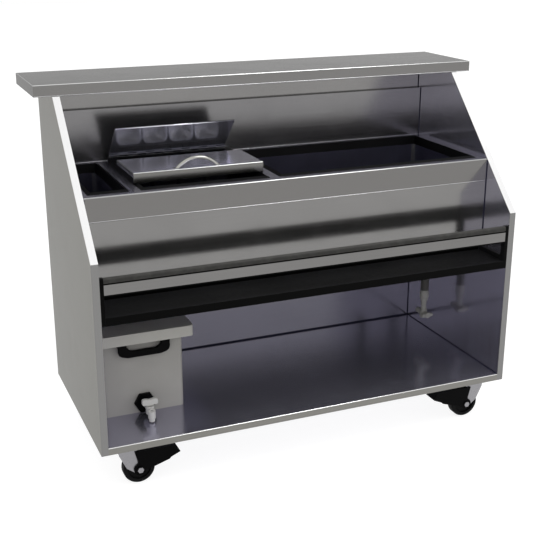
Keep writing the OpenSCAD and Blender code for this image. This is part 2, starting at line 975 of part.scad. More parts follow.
// The lid lies level over the hinge here and is turned to its open place below
module level_lid() {
    z0 = hinge_z + plate_up;
    y0 = hinge_y - lid_l;
    back = hinge_y + lid_tail;
    x1 = lid_x0 + lid_w;
    half_gap = knuckle_gap / 2;
    difference() {
        union() {
            block([lid_x0, y0, z0], [x1, back, z0 + sheet]);
            difference() {
                block([lid_x0, y0, z0], [x1, back - hem_w, z0 + hem_h]);
                block([lid_x0 + sheet, y0 + sheet, z0 + sheet], [x1 - sheet, back, z0 + hem_h - sheet]);
                block([lid_x0 + hem_w, y0 + hem_w, z0 + sheet], [x1 - hem_w, back, z0 + hem_h + cut]);
            }
            knuckle_row(1);
            for (i = [1 : 2 : knuckles - 1])
                block(
                    [knuckle_x(i) + half_gap, hinge_y - pin_r - web_t, hinge_z],
                    [knuckle_x(i + 1) - half_gap, back, z0 + sheet / 2]
                );
        }
        rod_x(hinge_y, hinge_z, lid_x0 - cut, x1 + cut, pin_r + pin_gap);
        for (i = [0 : 2 : knuckles - 1])
            rod_x(
                hinge_y, hinge_z, knuckle_x(i) - half_gap, knuckle_x(i + 1) + half_gap,
                knuckle_r + turn_gap
            );
    }
}

module station_lid() {
    color("silver")
        translate([0, hinge_y, hinge_z])
            rotate([-lid_open, 0, 0])
                translate([0, -hinge_y, -hinge_z])
                    level_lid();
}

module station_cover() {
    low = cover_z - cover_h;
    color("silver")
        difference() {
            union() {
                folded_box([frame_x0, cover_y0, low], [frame_x1, cover_y1, cover_z], cover_fold);
                block(
                    [frame_x0, cover_y0, cover_z - cover_front],
                    [frame_x1, cover_y0 + sheet, low + cut]
                );
            }
            folded_box(
                [frame_x0 + sheet, cover_y0 + sheet, low - cut],
                [frame_x1 - sheet, cover_y1 - sheet, cover_z - sheet], cover_fold - sheet
            );
        }
}

module cover_handle() {
    rod_r = bow_d / 2;
    color("silver")
        difference() {
            union() {
                translate([bow_x, bow_y, cover_z + bow_h - bow_big])
                    rotate([90, 0, 0])
                        rotate_extrude()
                            translate([bow_big - rod_r, 0])
                                circle(rod_r);
                for (x = [bow_x - bow_l / 2 + rod_r, bow_x + bow_l / 2 - rod_r])
                    translate([x, bow_y, cover_z])
                        cylinder(r = rod_r + bow_foot, h = bow_foot_t);
            }
            block(
                [bow_x - 2 * bow_big, bow_y - bow_big, cover_z - 3 * bow_big],
                [bow_x + 2 * bow_big, bow_y + bow_big, cover_z]
            );
        }
}

// One garnish pan, counted from the left
module pan(i) {
    w = pan_w / 2;
    l = pan_l / 2;
    wall = pan_rim + sheet;
    top = shelf_z1 + sheet;
    low = top - pan_deep;
    color("gray")
        translate([pan_x + i * pan_pitch, pan_y, 0])
            difference() {
                union() {
                    round_corners([-w, -l, shelf_z1], [w, l, top], pan_r);
                    tub(
                        [pan_rim - w, pan_rim - l, low], [w - pan_rim, l - pan_rim, top],
                        pan_r - pan_rim, pan_foot
                    );
                }
                tub(
                    [wall - w, wall - l, low + sheet], [w - wall, l - wall, top + cut],
                    pan_r - wall, pan_foot - sheet
                );
            }
}

module pan_1() {
    pan(0);
}

module pan_2() {
    pan(1);
}

module pan_3() {
    pan(2);
}

module pan_4() {
    pan(3);
}

// Outline of a thread's half, with its crests at radius r
function thread(r, deep, pitch, turns) = [
    for (i = [0 : turns - 1])
        for (p = [[0, 0.1], [deep, 0.4], [deep, 0.5], [0, 0.8]])
            [r - p[0], (i + p[1]) * pitch]
];

module drain_pipe() {
    r = drain_r;
    top = bin_z - drain_z;
    turns = floor((top - foam_t - 2 * sheet) / drain_pitch) - 1;
    color([0.12, 0.12, 0.13])
        translate([drain_x, drain_y, drain_z])
            difference() {
                union() {
                    rotate_extrude()
                        polygon(concat(
                            [[0, 0], [r, 0]], thread(r, drain_cut, drain_pitch, turns),
                            [[r, top + sheet], [0, top + sheet]]
                        ));
                    translate([0, 0, -spigot_l])
                        cylinder(r = spigot_r, h = spigot_l + cut);
                    translate([0, 0, top])
                        cylinder(r = r + drain_flange, h = drain_flange_t);
                }
                translate([0, 0, -spigot_l - cut])
                    cylinder(r = drain_bore, h = spigot_l + top + drain_flange_t + 2 * cut);
            }
}

module valve_body() {
    nut_z = drain_z - coupling_h + nut_up;
    body_r = valve_d / 2;
    tube_r = tube_d / 2;
    color([0.85, 0.85, 0.84])
        difference() {
            union() {
                translate([drain_x, drain_y, 0]) {
                    translate([0, 0, drain_z - coupling_h])
                        cylinder(r = tube_r + core_w, h = coupling_h);
                    translate([0, 0, nut_z - ring_h])
                        cylinder(r1 = tube_r + core_w - 1, r2 = coupling_d / 2, h = ring_h);
                    translate([0, 0, nut_z])
                        cylinder(r = coupling_d / 2, h = coupling_h / 2, $fn = nut_sides);
                    translate([0, 0, valve_z - cut])
                        cylinder(r = tube_r, h = tube_h + 2 * cut);
                    translate([0, 0, valve_z - valve_h])
                        cylinder(r = body_r, h = valve_h);
                }
                rod_y(drain_x, knob_z, drain_y - body_r - neck_l, drain_y, body_r - neck_l);
                rod_y(drain_x, knob_z, drain_y, drain_y + body_r + neck_l, outlet_d / 2 + neck_l);
                rod_y(drain_x, knob_z, drain_y, drain_y + outlet_l, outlet_d / 2);
            }
            translate([drain_x, drain_y, drain_z - spigot_l])
                cylinder(r = spigot_r + socket_gap, h = spigot_l + cut);
            translate([drain_x, drain_y, knob_z])
                cylinder(r = outlet_r, h = drain_z - knob_z);
            rod_y(drain_x, knob_z, drain_y + outlet_r / 2, drain_y + outlet_l + cut, outlet_r);
            rod_y(drain_x, knob_z, drain_y - body_r - neck_l - cut, drain_y, stem_r + stem_gap);
        }
}

module valve_knob() {
    y0 = drain_y - valve_d / 2 - neck_l - face_gap;
    half = wing_w / 2;
    tall = wing_h / 2;
    color([0.85, 0.85, 0.84])
        union() {
            rod_y(drain_x, knob_z, y0 - wing_l, y0, valve_d / 2 - knob_in);
            rod_y(drain_x, knob_z, y0 - cut, drain_y - cut, stem_r);
            along_y(y0 - wing_l + wing_in, y0 - wing_in)
                round_rect([drain_x - half, knob_z - tall], [drain_x + half, knob_z + tall], wing_round);
        }
}

module tank_body() {
    o = tank_over;
    i = tank_over + tank_t;
    top = tank_z1 - tank_t;
    color([0.54, 0.53, 0.51])
        difference() {
            round_corners([tank_x0 + o, tank_y0 + o, floor_z], [tank_x1 - o, tank_y1 - o, top], tank_r);
            round_corners(
                [tank_x0 + i, tank_y0 + i, floor_z + tank_t], [tank_x1 - i, tank_y1 - i, top + cut],
                tank_r - tank_t
            );
            rod_y(tap_x, tap_z, body_y0 - cut, body_y0 + tank_t + cut, barrel_d / 2 + hole_gap);
        }
}

module tank_lid() {
    low = tank_z1 - skirt_h;
    t = tank_t;
    plug = tank_over + tank_t + plug_gap;
    plug_z = tank_z1 - t - plug_deep;
    color([0.54, 0.53, 0.51])
        difference() {
            union() {
                difference() {
                    round_corners([tank_x0, tank_y0, low], [tank_x1, tank_y1, tank_z1], tank_r);
                    round_corners(
                        [tank_x0 + t, tank_y0 + t, low - cut], [tank_x1 - t, tank_y1 - t, tank_z1 - t],
                        tank_r - t
                    );
                }
                round_corners(
                    [tank_x0 + plug, tank_y0 + plug, plug_z],
                    [tank_x1 - plug, tank_y1 - plug, tank_z1 - t / 2], tank_r - t
                );
            }
            block(
                [tank_x0 + plug + t, tank_y0 + plug + t, plug_z - cut],
                [tank_x1 - plug - t, tank_y1 - plug - t, tank_z1 - t]
            );
        }
}

module tank_handle() {
    half = grip_w / 2;
    y0 = tank_y0 + tank_t + grip_gap;
    z1 = tank_z1 - skirt_h + grip_top;
    open = half - grip_leg;
    bar = grip_z0 + grip_bar;
    c = grip_corner;
    color([0.1, 0.1, 0.1])
        union() {
            along_y(y0, y0 + grip_t)
                translate([tap_x, 0])
                    polygon([
                        [c - half, grip_z0], [half - c, grip_z0], [half - c / 4, grip_z0 + c / 4],
                        [half, grip_z0 + c], [half, z1], [open, z1], [open, bar + grip_slope_h],
                        [open - grip_slope_w, bar], [grip_slope_w - open, bar],
                        [-open, bar + grip_slope_h], [-open, z1],
                        [-half, z1], [-half, grip_z0 + c], [c / 4 - half, grip_z0 + c / 4]
                    ]);
            for (x = [tap_x - half, tap_x + open])
                block([x, y0, z1 - grip_leg], [x + grip_leg, body_y0, z1]);
        }
}

module tank_nut() {
    color([0.1, 0.1, 0.1])
        difference() {
            translate([tap_x, body_y0, tap_z])
                rotate([90, 0, 0])
                    cylinder(r = nut_af / 2 * hex_k, h = nut_t, $fn = 6);
            rod_y(tap_x, tap_z, body_y0 - nut_t - cut, body_y0 + cut, barrel_d / 2 + hole_gap);
        }
}

module tap_body() {
    r = tap_d / 2;
    step_z = floor_z + spout_step;
    end_z = floor_z + spout_up;
    inside = body_y0 + tank_t;
    color([0.85, 0.85, 0.84])
        difference() {
            union() {
                rod_y(tap_x, tap_z, spout_y, inside + lock_t, barrel_d / 2);
                rod_y(tap_x, tap_z, inside + hole_gap, inside + lock_t, barrel_d / 2 + lock_w);
                translate([tap_x, tap_y, tap_z - r])
                    cylinder(r = r, h = 2 * r);
                translate([tap_x, spout_y, step_z])
                    cylinder(r = spout_d / 2, h = tap_z + spout_over - step_z);
                translate([tap_x, spout_y, end_z])
                    cylinder(r = spout_d / 2 - spout_in, h = step_z - end_z + cut);
            }
            translate([tap_x, spout_y, end_z - cut])
                cylinder(r = tap_bore / 2, h = tap_z - end_z);
            rod_y(tap_x, tap_z, spout_y, inside + lock_t + cut, tap_bore / 2);
            translate([tap_x, tap_y, tap_z])
                cylinder(r = tap_stem + stem_gap, h = r + cut);
        }
}

module tap_knob() {
    r = tap_d / 2;
    half = tbar_w / 2;
    color([0.85, 0.85, 0.84])
        translate([tap_x, tap_y, tap_z + r + face_gap])
            union() {
                translate([0, 0, -r])
                    cylinder(r = tap_stem, h = r + cut);
                cylinder(r = r - cut, h = tbar_h + 2);
                along_y(-tbar_l / 2, tbar_l / 2)
                    round_rect([-half, 1], [half, tbar_h], wing_round);
                translate([0, 0, tbar_h + 2])
                    intersection() {
                        sphere(r = r - 2);
                        block([-r, -r, 0], [r, r, dome_h]);
                    }
            }
}

module caster_plates() {
    rivet_z = fork_low - 2 * race_gap;
    color("gray")
        difference() {
            for (sx = [-1, 1])
                for (y = caster_y)
                    translate([sx * caster_x, y, 0])
                        union() {
                            round_corners(
                                [-plate_l / 2, -plate_w / 2, plate_z], [plate_l / 2, plate_w / 2, base_z],
                                plate_r
                            );
                            translate([0, 0, plate_z - race_t])
                                cylinder(r = race_r, h = race_t + cut);
                            translate([0, 0, rivet_z - cut])
                                cylinder(r = king_r, h = plate_z - rivet_z);
                            translate([0, 0, rivet_z - rivet_t])
                                cylinder(r = king_r + rivet_w, h = rivet_t);
                        }
            bolt_holes(plate_z - cut, base_z + cut, bolt_r + bolt_gap);
        }
}

module caster_bolts() {
    color("silver") {
        bolt_holes(plate_z - cut, base_z + channel_t + bolt_up, bolt_r);
        for (sx = [-1, 1])
            for (y = caster_y)
                for (dx = [-bolt_x, bolt_x])
                    for (dy = [-bolt_y, bolt_y])
                        translate([sx * caster_x + dx, y + dy, plate_z - bolt_head])
                            cylinder(r = bolt_r * bolt_af * hex_k, h = bolt_head, $fn = 6);
    }
}

// Puts a caster's piece, drawn with its trail towards +X, under one corner
module at_corner(sx, i) {
    translate([-sx * caster_x, caster_y[i], 0])
        mirror([sx < 0 ? 1 : 0, 0, 0])
            children();
}

// Side view of a fork's leg, from the crown down to the boss round the axle
module leg_outline() {
    nose_x = fork_nose - 2;
    polygon([
        [-fork_nose, fork_z], [-nose_x, fork_z - boss_r], [-boss_r / 3, axle_z + boss_r / 2],
        [trail - 0.7 * boss_r, axle_z - 0.7 * boss_r], [trail + 0.8 * boss_r, axle_z + 0.5 * boss_r],
        [fork_tail, axle_z + 2 * boss_r], [fork_tail, fork_z]
    ]);
    translate([trail, axle_z])
        circle(boss_r);
}

module fork() {
    color("lightgray")
        difference() {
            union() {
                for (y = [-fork_out, fork_in])
                    along_y(y, y + fork_t)
                        leg_outline();
                block([-fork_nose, -fork_out, fork_low], [fork_tail, fork_out, fork_z]);
                translate([0, 0, fork_low])
                    cylinder(r = race_r + 1, h = fork_t);
            }
            translate([0, 0, fork_low - cut])
                cylinder(r = king_r + king_gap, h = fork_t + 2 * cut);
            rod_y(trail, axle_z, -fork_out - cut, fork_out + cut, axle_r + axle_gap);
        }
}

module wheel() {
    r = wheel_d / 2;
    w = wheel_w / 2;
    bore = axle_r + axle_gap;
    edge = r - tire_round;
    color([0.12, 0.12, 0.13])
        translate([trail, 0, axle_z])
            rotate([90, 0, 0])
                rotate_extrude()
                    union() {
                        translate([bore, -hub_w])
                            square([hub_r - bore, 2 * hub_w]);
                        translate([hub_r - cut, rim_in - w])
                            square([rim_r - hub_r + 2 * cut, 2 * (w - rim_in)]);
                        translate([rim_r, -w])
                            square([edge - rim_r, 2 * w]);
                        translate([edge - cut, tire_round - w])
                            square([tire_round + cut, 2 * (w - tire_round)]);
                        for (y = [tire_round - w, w - tire_round])
                            translate([edge, y])
                                circle(tire_round);
                    }
}

// Axle bolt with its head and nut outside the brake's cheeks
module axle() {
    color("lightgray")
        union() {
            rod_y(trail, axle_z, -cheek_out - cut, cheek_out + cut, axle_r);
            for (y = [-cheek_out - head_gap, cheek_out + head_gap + head_t])
                translate([trail, y, axle_z])
                    rotate([90, 0, 0])
                        cylinder(r = head_af / 2 * hex_k, h = head_t, $fn = 6);
        }
}

// Side view of the brake's cheeks, from the axle out to the pedal's tip
module cheek_outline() {
    polygon([
        [trail - heel_x[0], brake_z], [trail - heel_x[1], axle_z + heel_up[0]],
        [trail - heel_x[1], axle_z + heel_up[1]], [trail + sole_in, axle_z - sole_down],
        [pedal_l - pedal_in[0], axle_z + pedal_up[0]], [pedal_l - pedal_in[1], axle_z + pedal_up[1]],
        [pedal_l - pedal_in[2], axle_z + pedal_up[2]], [pedal_l, axle_z + pedal_up[3]],
        [pedal_l - pedal_in[3], brake_z]
    ]);
    translate([trail, axle_z])
        circle(cheek_r);
}

module brake() {
    t = tread_t;
    tip_z = axle_z + pedal_up[3];
    color([0.1, 0.1, 0.1])
        difference() {
            union() {
                for (y = [-cheek_out, cheek_in])
                    along_y(y, y + cheek_t)
                        cheek_outline();
                along_y(-cheek_in - cut, cheek_in + cut)
                    polygon([
                        [trail + tread_in, brake_z - t], [pedal_l - pedal_in[3] - t, brake_z - t],
                        [pedal_l - t, tip_z - t / 2], [pedal_l, tip_z],
                        [pedal_l - pedal_in[3], brake_z], [trail + tread_in, brake_z]
                    ]);
            }
            rod_y(trail, axle_z, -cheek_in, cheek_in, brake_room);
            rod_y(trail, axle_z, -cheek_out - cut, cheek_out + cut, axle_r + axle_gap);
        }
}

module fork_fl() {
    at_corner(1, 0)
        fork();
}

module fork_fr() {
    at_corner(-1, 0)
        fork();
}

module fork_bl() {
    at_corner(1, 1)
        fork();
}

module fork_br() {
    at_corner(-1, 1)
        fork();
}

module wheel_fl() {
    at_corner(1, 0)
        wheel();
}

module wheel_fr() {
    at_corner(-1, 0)
        wheel();
}

module wheel_bl() {
    at_corner(1, 1)
        wheel();
}

module wheel_br() {
    at_corner(-1, 1)
        wheel();
}

module axle_fl() {
    at_corner(1, 0)
        axle();
}

module axle_fr() {
    at_corner(-1, 0)
        axle();
}

module axle_bl() {
    at_corner(1, 1)
        axle();
}

module axle_br() {
    at_corner(-1, 1)
        axle();
}

module brake_fl() {
    at_corner(1, 0)
        brake();
}

module brake_fr() {
    at_corner(-1, 0)
        brake();
}

module brake_bl() {
    at_corner(1, 1)
        brake();
}

module brake_br() {
    at_corner(-1, 1)
        brake();
}

left_skin();
left_liner();
right_skin();
right_liner();
back_skin();
back_liner();
base_pan();
base_channels();
bar_top();
deck();
apron();
backsplash();
rail_tray();
rail_ends();
rail_bar();
rail_strip();
rail_lip();
well_collar();
station_collar();
ice_collar();
well_liner();
station_liner();
ice_liner();
ice_shell();
station_frame();
hinge_pin();
station_lid();
station_cover();
cover_handle();
pan_1();
pan_2();
pan_3();
pan_4();
drain_pipe();
valve_body();
valve_knob();
tank_body();
tank_lid();
tank_handle();
tank_nut();
tap_body();
tap_knob();
caster_plates();
caster_bolts();
fork_fl();
fork_fr();
fork_bl();
fork_br();
wheel_fl();
wheel_fr();
wheel_bl();
wheel_br();
axle_fl();
axle_fr();
axle_bl();
axle_br();
brake_fl();
brake_fr();
brake_bl();
brake_br();
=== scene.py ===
"""Looks of the mobile bar: materials, small fittings, camera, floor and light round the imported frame."""

import json
import math

import bmesh
import bpy
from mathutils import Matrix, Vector


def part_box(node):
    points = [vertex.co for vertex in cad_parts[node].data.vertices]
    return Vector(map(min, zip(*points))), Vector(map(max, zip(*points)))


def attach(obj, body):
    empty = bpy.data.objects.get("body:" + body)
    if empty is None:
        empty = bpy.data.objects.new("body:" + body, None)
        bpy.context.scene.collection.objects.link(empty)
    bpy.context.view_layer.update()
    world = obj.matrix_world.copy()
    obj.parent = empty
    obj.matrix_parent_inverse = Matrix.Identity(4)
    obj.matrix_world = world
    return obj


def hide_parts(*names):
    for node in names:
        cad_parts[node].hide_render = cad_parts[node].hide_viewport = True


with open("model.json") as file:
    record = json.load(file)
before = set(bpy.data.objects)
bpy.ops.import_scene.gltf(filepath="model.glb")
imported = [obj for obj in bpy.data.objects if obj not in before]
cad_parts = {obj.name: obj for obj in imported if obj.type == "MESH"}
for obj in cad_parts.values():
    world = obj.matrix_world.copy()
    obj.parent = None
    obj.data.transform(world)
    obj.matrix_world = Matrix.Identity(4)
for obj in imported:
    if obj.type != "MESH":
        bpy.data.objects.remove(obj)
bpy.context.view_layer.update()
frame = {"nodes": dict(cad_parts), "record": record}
nodes = frame["nodes"]
CORNERS = ("fl", "fr", "bl", "br")
BODY_OF = {
    node: body for body, held in frame["record"]["behaviour"]["bodies"].items() for node in held
}


# Node material helpers


class Shader:
    """A node tree with short calls for the few node kinds that the materials share."""

    def __init__(self, name):
        self.material = bpy.data.materials.new(name)
        self.material.use_nodes = True
        self.tree = self.material.node_tree
        self.bsdf = self.tree.nodes["Principled BSDF"]
        coordinates = self.add("ShaderNodeTexCoord")
        self.place = coordinates.outputs["Object"]
        self.facing = coordinates.outputs["Normal"]

    def add(self, kind, **values):
        node = self.tree.nodes.new(kind)
        for key, value in values.items():
            setattr(node, key, value)
        return node

    def link(self, source, target):
        self.tree.links.new(source, target)

    def split(self, vector):
        """The X, Y and Z sockets of a vector."""
        node = self.add("ShaderNodeSeparateXYZ")
        self.link(vector, node.inputs["Vector"])
        return node.outputs

    def stretched(self, scale):
        """Object coordinates scaled along the three axes."""
        mapping = self.add("ShaderNodeMapping")
        mapping.inputs["Scale"].default_value = scale
        self.link(self.place, mapping.inputs["Vector"])
        return mapping.outputs["Vector"]

    def noise(self, scale, stretch=(1, 1, 1), detail=3.0, roughness=0.55):
        """Noise that stays with the object, drawn out along its axes by stretch."""
        node = self.add("ShaderNodeTexNoise")
        node.inputs["Scale"].default_value = scale
        node.inputs["Detail"].default_value = detail
        node.inputs["Roughness"].default_value = roughness
        self.link(self.stretched(stretch), node.inputs["Vector"])
        return node.outputs["Fac"]

    def between(self, value, low, high, start=0.3, end=0.7):
        """Maps a value from start..end to low..high."""
        node = self.add("ShaderNodeMapRange")
        for key, number in (("From Min", start), ("From Max", end), ("To Min", low), ("To Max", high)):
            node.inputs[key].default_value = number
        self.link(value, node.inputs["Value"])
        return node.outputs["Result"]

    def math(self, operation, a, b):
        node = self.add("ShaderNodeMath", operation=operation)
        for socket, value in zip(node.inputs, (a, b)):
            if isinstance(value, (int, float)):
                socket.default_value = value
            else:
                self.link(value, socket)
        return node.outputs["Value"]

    def mix(self, factor, a, b):
        """Mixes two colours, each a socket or three numbers."""
        node = self.add("ShaderNodeMix", data_type="RGBA")
        sockets = [s for s in node.inputs if s.type == "RGBA"]
        for socket, value in zip(sockets, (a, b)):
            if isinstance(value, tuple):
                socket.default_value = (*value, 1)
            else:
                self.link(value, socket)
        self.link(factor, node.inputs[0])
        return next(s for s in node.outputs if s.type == "RGBA")

    def edges(self, radius):
        """About 1 on edges and 0 on flats, from the difference that rounding makes to the normal."""
        bevel = self.add("ShaderNodeBevel", samples=4)
        bevel.inputs["Radius"].default_value = radius
        geometry = self.add("ShaderNodeNewGeometry")
        dot = self.add("ShaderNodeVectorMath", operation="DOT_PRODUCT")
        self.link(bevel.outputs["Normal"], dot.inputs[0])
        self.link(geometry.outputs["Normal"], dot.inputs[1])
        return self.between(dot.outputs["Value"], 1.0, 0.0, start=0.80, end=0.99)

    def bends(self):
        """About 1 on folds and on the raked edges, and 0 on level and upright faces."""
        largest = 0.0
        for share in self.split(self.facing):
            largest = self.math("MAXIMUM", largest, self.math("ABSOLUTE", share, 0.0))
        return self.between(largest, 1.0, 0.0, start=0.90, end=0.99)

    def with_front_shade(self, body, face):
        """Paints shade on the sides that face the bartender, with a darker colour of their own."""
        return self.mix(self.between(self.split(self.facing)["Y"], 0.0, 1.0, -0.2, -0.8), body, face)

    def bump(self, height, strength, distance):
        """Raises the surface by a height of up to distance, in metres."""
        node = self.add("ShaderNodeBump")
        node.inputs["Strength"].default_value = strength
        node.inputs["Distance"].default_value = distance
        self.link(height, node.inputs["Height"])
        self.link(node.outputs["Normal"], self.bsdf.inputs["Normal"])

    def set(self, **values):
        """Gives the shader's own sockets their numbers and colours, or links them."""
        for key, value in values.items():
            socket = self.bsdf.inputs[key.replace("_", " ")]
            if isinstance(value, tuple) and len(value) == 3:
                socket.default_value = (*value, 1)
            elif isinstance(value, (int, float)):
                socket.default_value = value
            else:
                self.link(value, socket)


def shade(colour, factor, lift=0.0):
    """The colour times a factor, with a lift added, up to white."""
    return tuple(min(1.0, c * factor + lift) for c in colour)


# Noise scale along the sheet's grain and across it
ALONG, ACROSS = 2.0, 420.0
# Reach of the worn line along the edges, in metres; the second also gives the reach of the painted
# highlight along the steel's sharp edges
METAL_WEAR, WEAR_AND_HIGHLIGHT_REACH = 0.0010, 0.0012


def steel(name, colour, grain="x", rough=0.16, streak=0.05, grazing=0.6, fold_highlight=0.9, face=None, low=None):
    """Satin stainless sheet: fine grain along one axis, cloudy marks in its tone and roughness, and a
    painted highlight on the folds.

    How pale the painted highlight on the folds and raked edges is comes as an argument, and at 0 the
    sharp edges get the painted highlight instead. face is a darker colour for the sides that face the
    bartender: painted shade. low is a colour with the two heights between which it gives way to the
    others; on the back wall, the cover and the bottle rail's strip it paints light and shade by height.
    """
    s = Shader(name)
    stretch = tuple(ALONG if axis == grain else ACROSS for axis in "xyz")
    fine = s.noise(1.0, stretch, detail=4.0, roughness=0.7)
    cloud = s.noise(2.6, detail=4.0)
    marks = s.noise(9.0, (1, 1, 1.6), detail=6.0, roughness=0.62)
    tone = s.math("ADD", s.math("MULTIPLY", fine, 0.5), s.math("MULTIPLY", cloud, 0.5))
    body = s.mix(s.between(tone, 0.0, 1.0, 0.36, 0.64), shade(colour, 0.93), shade(colour, 1.05))
    # Painted shade: a darker colour on the sides that face the bartender
    if face:
        body = s.with_front_shade(body, face)
    # A band of another colour by height: painted light and shade on some sheets
    if low:
        body = s.mix(s.between(s.split(s.place)["Z"], 1.0, 0.0, low[1], low[2]), body, low[0])
    # Painted highlight: a pale colour on the folds and raked edges, and on the sharp edges instead when
    # the fold highlight is 0
    wear_and_highlight = s.bends() if fold_highlight else s.edges(WEAR_AND_HIGHLIGHT_REACH)
    bright = fold_highlight or 0.6
    s.set(
        Base_Color=s.mix(wear_and_highlight, body, (bright, bright, bright)),
        Metallic=0.9,
        Specular_IOR_Level=0.5 * grazing,
        Specular_Tint=(grazing, grazing, grazing),
        Roughness=s.math(
            "ADD",
            s.between(fine, rough - streak, rough + streak),
            s.between(marks, 0.0, 0.05, 0.45, 0.75),
        ),
    )
    s.bump(fine, 0.05, 0.0002)
    return s.material


def moulded(name, colour, rough=0.45, wear=0.1, size=900.0, shine=0.35, face=None):
    """Moulded plastic: fine texture in the surface, tone that drifts, and paler worn edges.

    wear is the share of the worn colour on the edges, and size the scale of the texture. face is a
    darker colour for the sides that face the bartender: painted shade.
    """
    s = Shader(name)
    texture = s.noise(size, detail=2.0, roughness=0.6)
    drift = s.noise(4.0, detail=3.0)
    scuffs = s.noise(30.0, (1, 1, 0.3), detail=5.0, roughness=0.7)
    body = s.mix(s.between(drift, 0.0, 1.0), shade(colour, 0.9), shade(colour, 1.08, 0.002))
    # Painted shade: a darker colour on the sides that face the bartender
    if face:
        body = s.with_front_shade(body, face)
    wear_and_highlight = s.math("MULTIPLY", s.edges(WEAR_AND_HIGHLIGHT_REACH), s.between(scuffs, 0.0, wear, 0.35, 0.65))
    s.set(
        Base_Color=s.mix(wear_and_highlight, body, shade(colour, 1.5, 0.03)),
        Roughness=s.between(scuffs, rough - 0.06, rough + 0.08),
        Specular_IOR_Level=shine,
    )
    s.bump(texture, 0.25, 0.00015)
    return s.material


def coated(name, colour, face):
    """Powder-coated steel: orange peel, dust in the tone, a thin worn line along the edges, and a darker
    colour on the sides that face the bartender: painted shade.
    """
    s = Shader(name)
    peel = s.noise(650.0, detail=1.5)
    drift = s.noise(5.0, detail=4.0)
    dust = s.noise(60.0, detail=6.0, roughness=0.75)
    wear_and_highlight = s.math("MULTIPLY", s.edges(METAL_WEAR), s.between(dust, 0.0, 0.5, 0.4, 0.7))
    # Painted shade: a darker colour on the sides that face the bartender
    body = s.with_front_shade(s.mix(s.between(drift, 0.0, 1.0), colour, shade(colour, 1.35, 0.002)), face)
    s.set(
        Base_Color=s.mix(wear_and_highlight, body, shade(colour, 1.8, 0.025)),
        Roughness=s.between(dust, 0.29, 0.43),
        Specular_IOR_Level=0.05,
    )
    s.bump(peel, 0.16, 0.00018)
    return s.material


def zinc(name, colour):
    """Zinc-plated steel: dull crystalline tone, pits and paler worn edges."""
    s = Shader(name)
    crystals = s.noise(160.0, detail=5.0, roughness=0.7)
    drift = s.noise(12.0, detail=3.0)
    body = s.mix(s.between(crystals, 0.0, 1.0), shade(colour, 0.82), colour)
    s.set(
        Base_Color=s.mix(s.edges(METAL_WEAR), body, shade(colour, 1.2)),
        Metallic=1.0,
        Roughness=s.math("ADD", s.between(crystals, 0.22, 0.40), s.between(drift, 0.0, 0.06)),
    )
    s.bump(crystals, 0.12, 0.0002)
    return s.material


def rubber(name, colour, rough=0.62):
    """Tread or lip rubber: fine pores, scuffs and dusty patches."""
    s = Shader(name)
    pores = s.noise(1400.0, detail=2.0)
    scuffs = s.noise(45.0, detail=6.0, roughness=0.75)
    s.set(
        Base_Color=s.mix(s.between(scuffs, 0.0, 0.8, 0.45, 0.75), colour, shade(colour, 1.6, 0.012)),
        Roughness=s.between(scuffs, rough - 0.08, rough + 0.1),
        Specular_IOR_Level=0.1,
    )
    s.bump(pores, 0.3, 0.0002)
    return s.material


# Heights at which some sheets change their tone, and on which the seams lie
deck_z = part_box("deck")[1][2]
floor_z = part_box("base_pan")[1][2]
lid_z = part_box("station_lid")[0][2]
strip_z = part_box("rail_strip")[1][2]

# Materials of the sheets
pan_edge = (0.225, 0.22, 0.205)
# The skins' sides that face the bartender are darker: painted shade
outer_steel = steel(
    "outer_steel", (0.395, 0.387, 0.354), grain="z", grazing=0.42, face=(0.220, 0.218, 0.215)
)
# The bar top's front is darker than its top: painted shade
top_steel = steel(
    "top_steel", (0.240, 0.235, 0.226), grazing=0.42, fold_highlight=0.7, face=(0.194, 0.190, 0.185)
)
# The deck's bluish colour paints the bluish light in the cabinet, and its darker front paints shade
deck_steel = steel(
    "deck_steel", (0.50, 0.49, 0.58), rough=0.14, fold_highlight=0.42, face=(0.184, 0.179, 0.174)
)
splash_steel = steel("splash_steel", (0.215, 0.211, 0.214), rough=0.2)
apron_steel = steel("apron_steel", (0.225, 0.221, 0.217), rough=0.14)
# The back wall is paler and bluer below about the deck's height: painted light
inner_steel = steel(
    "inner_steel", (0.235, 0.230, 0.226), rough=0.18,
    low=((0.26, 0.256, 0.27), deck_z + 0.013, deck_z + 0.113)
)
# The cabinet's floor is pale and bluish: painted light. Its front band and lip keep the darker colour of
# the pan's edge
floor_steel = steel(
    "floor_steel", (0.60, 0.59, 0.71), rough=0.17, face=pan_edge,
    low=(pan_edge, floor_z - 0.003, floor_z - 0.001)
)
# The inner side walls are far paler and bluer than the back wall: painted light
side_steel = steel("side_steel", (0.66, 0.645, 0.75), grain="z", rough=0.14)
# The bin liners are dark and bluish: painted shade and bluish light inside the bins
bin_steel = steel("bin_steel", (0.22, 0.217, 0.30), grain="z", rough=0.2, fold_highlight=0.45)
bright_steel = steel("bright_steel", (0.42, 0.415, 0.39), rough=0.12, streak=0.03, fold_highlight=0)
# The lid's steel is pale and bluish: painted light
lid_steel = steel(
    "lid_steel", (0.64, 0.635, 0.72), rough=0.15, streak=0.03, fold_highlight=0,
    low=((0.08, 0.08, 0.10), lid_z + 0.0066, lid_z + 0.0101)
)
hinge_steel = steel("hinge_steel", (0.09, 0.09, 0.11), rough=0.25, fold_highlight=0)
# The cover is pale and bluish, painted light; its front is darker, painted shade; and it goes near black
# towards the skirt's foot, a painted dark reflection of the deck and collar
cover_steel = steel(
    "cover_steel", (0.80, 0.79, 0.88), rough=0.17, streak=0.03, fold_highlight=0.6,
    face=(0.19, 0.187, 0.178), low=((0.02, 0.02, 0.02), deck_z + 0.001, deck_z + 0.018)
)
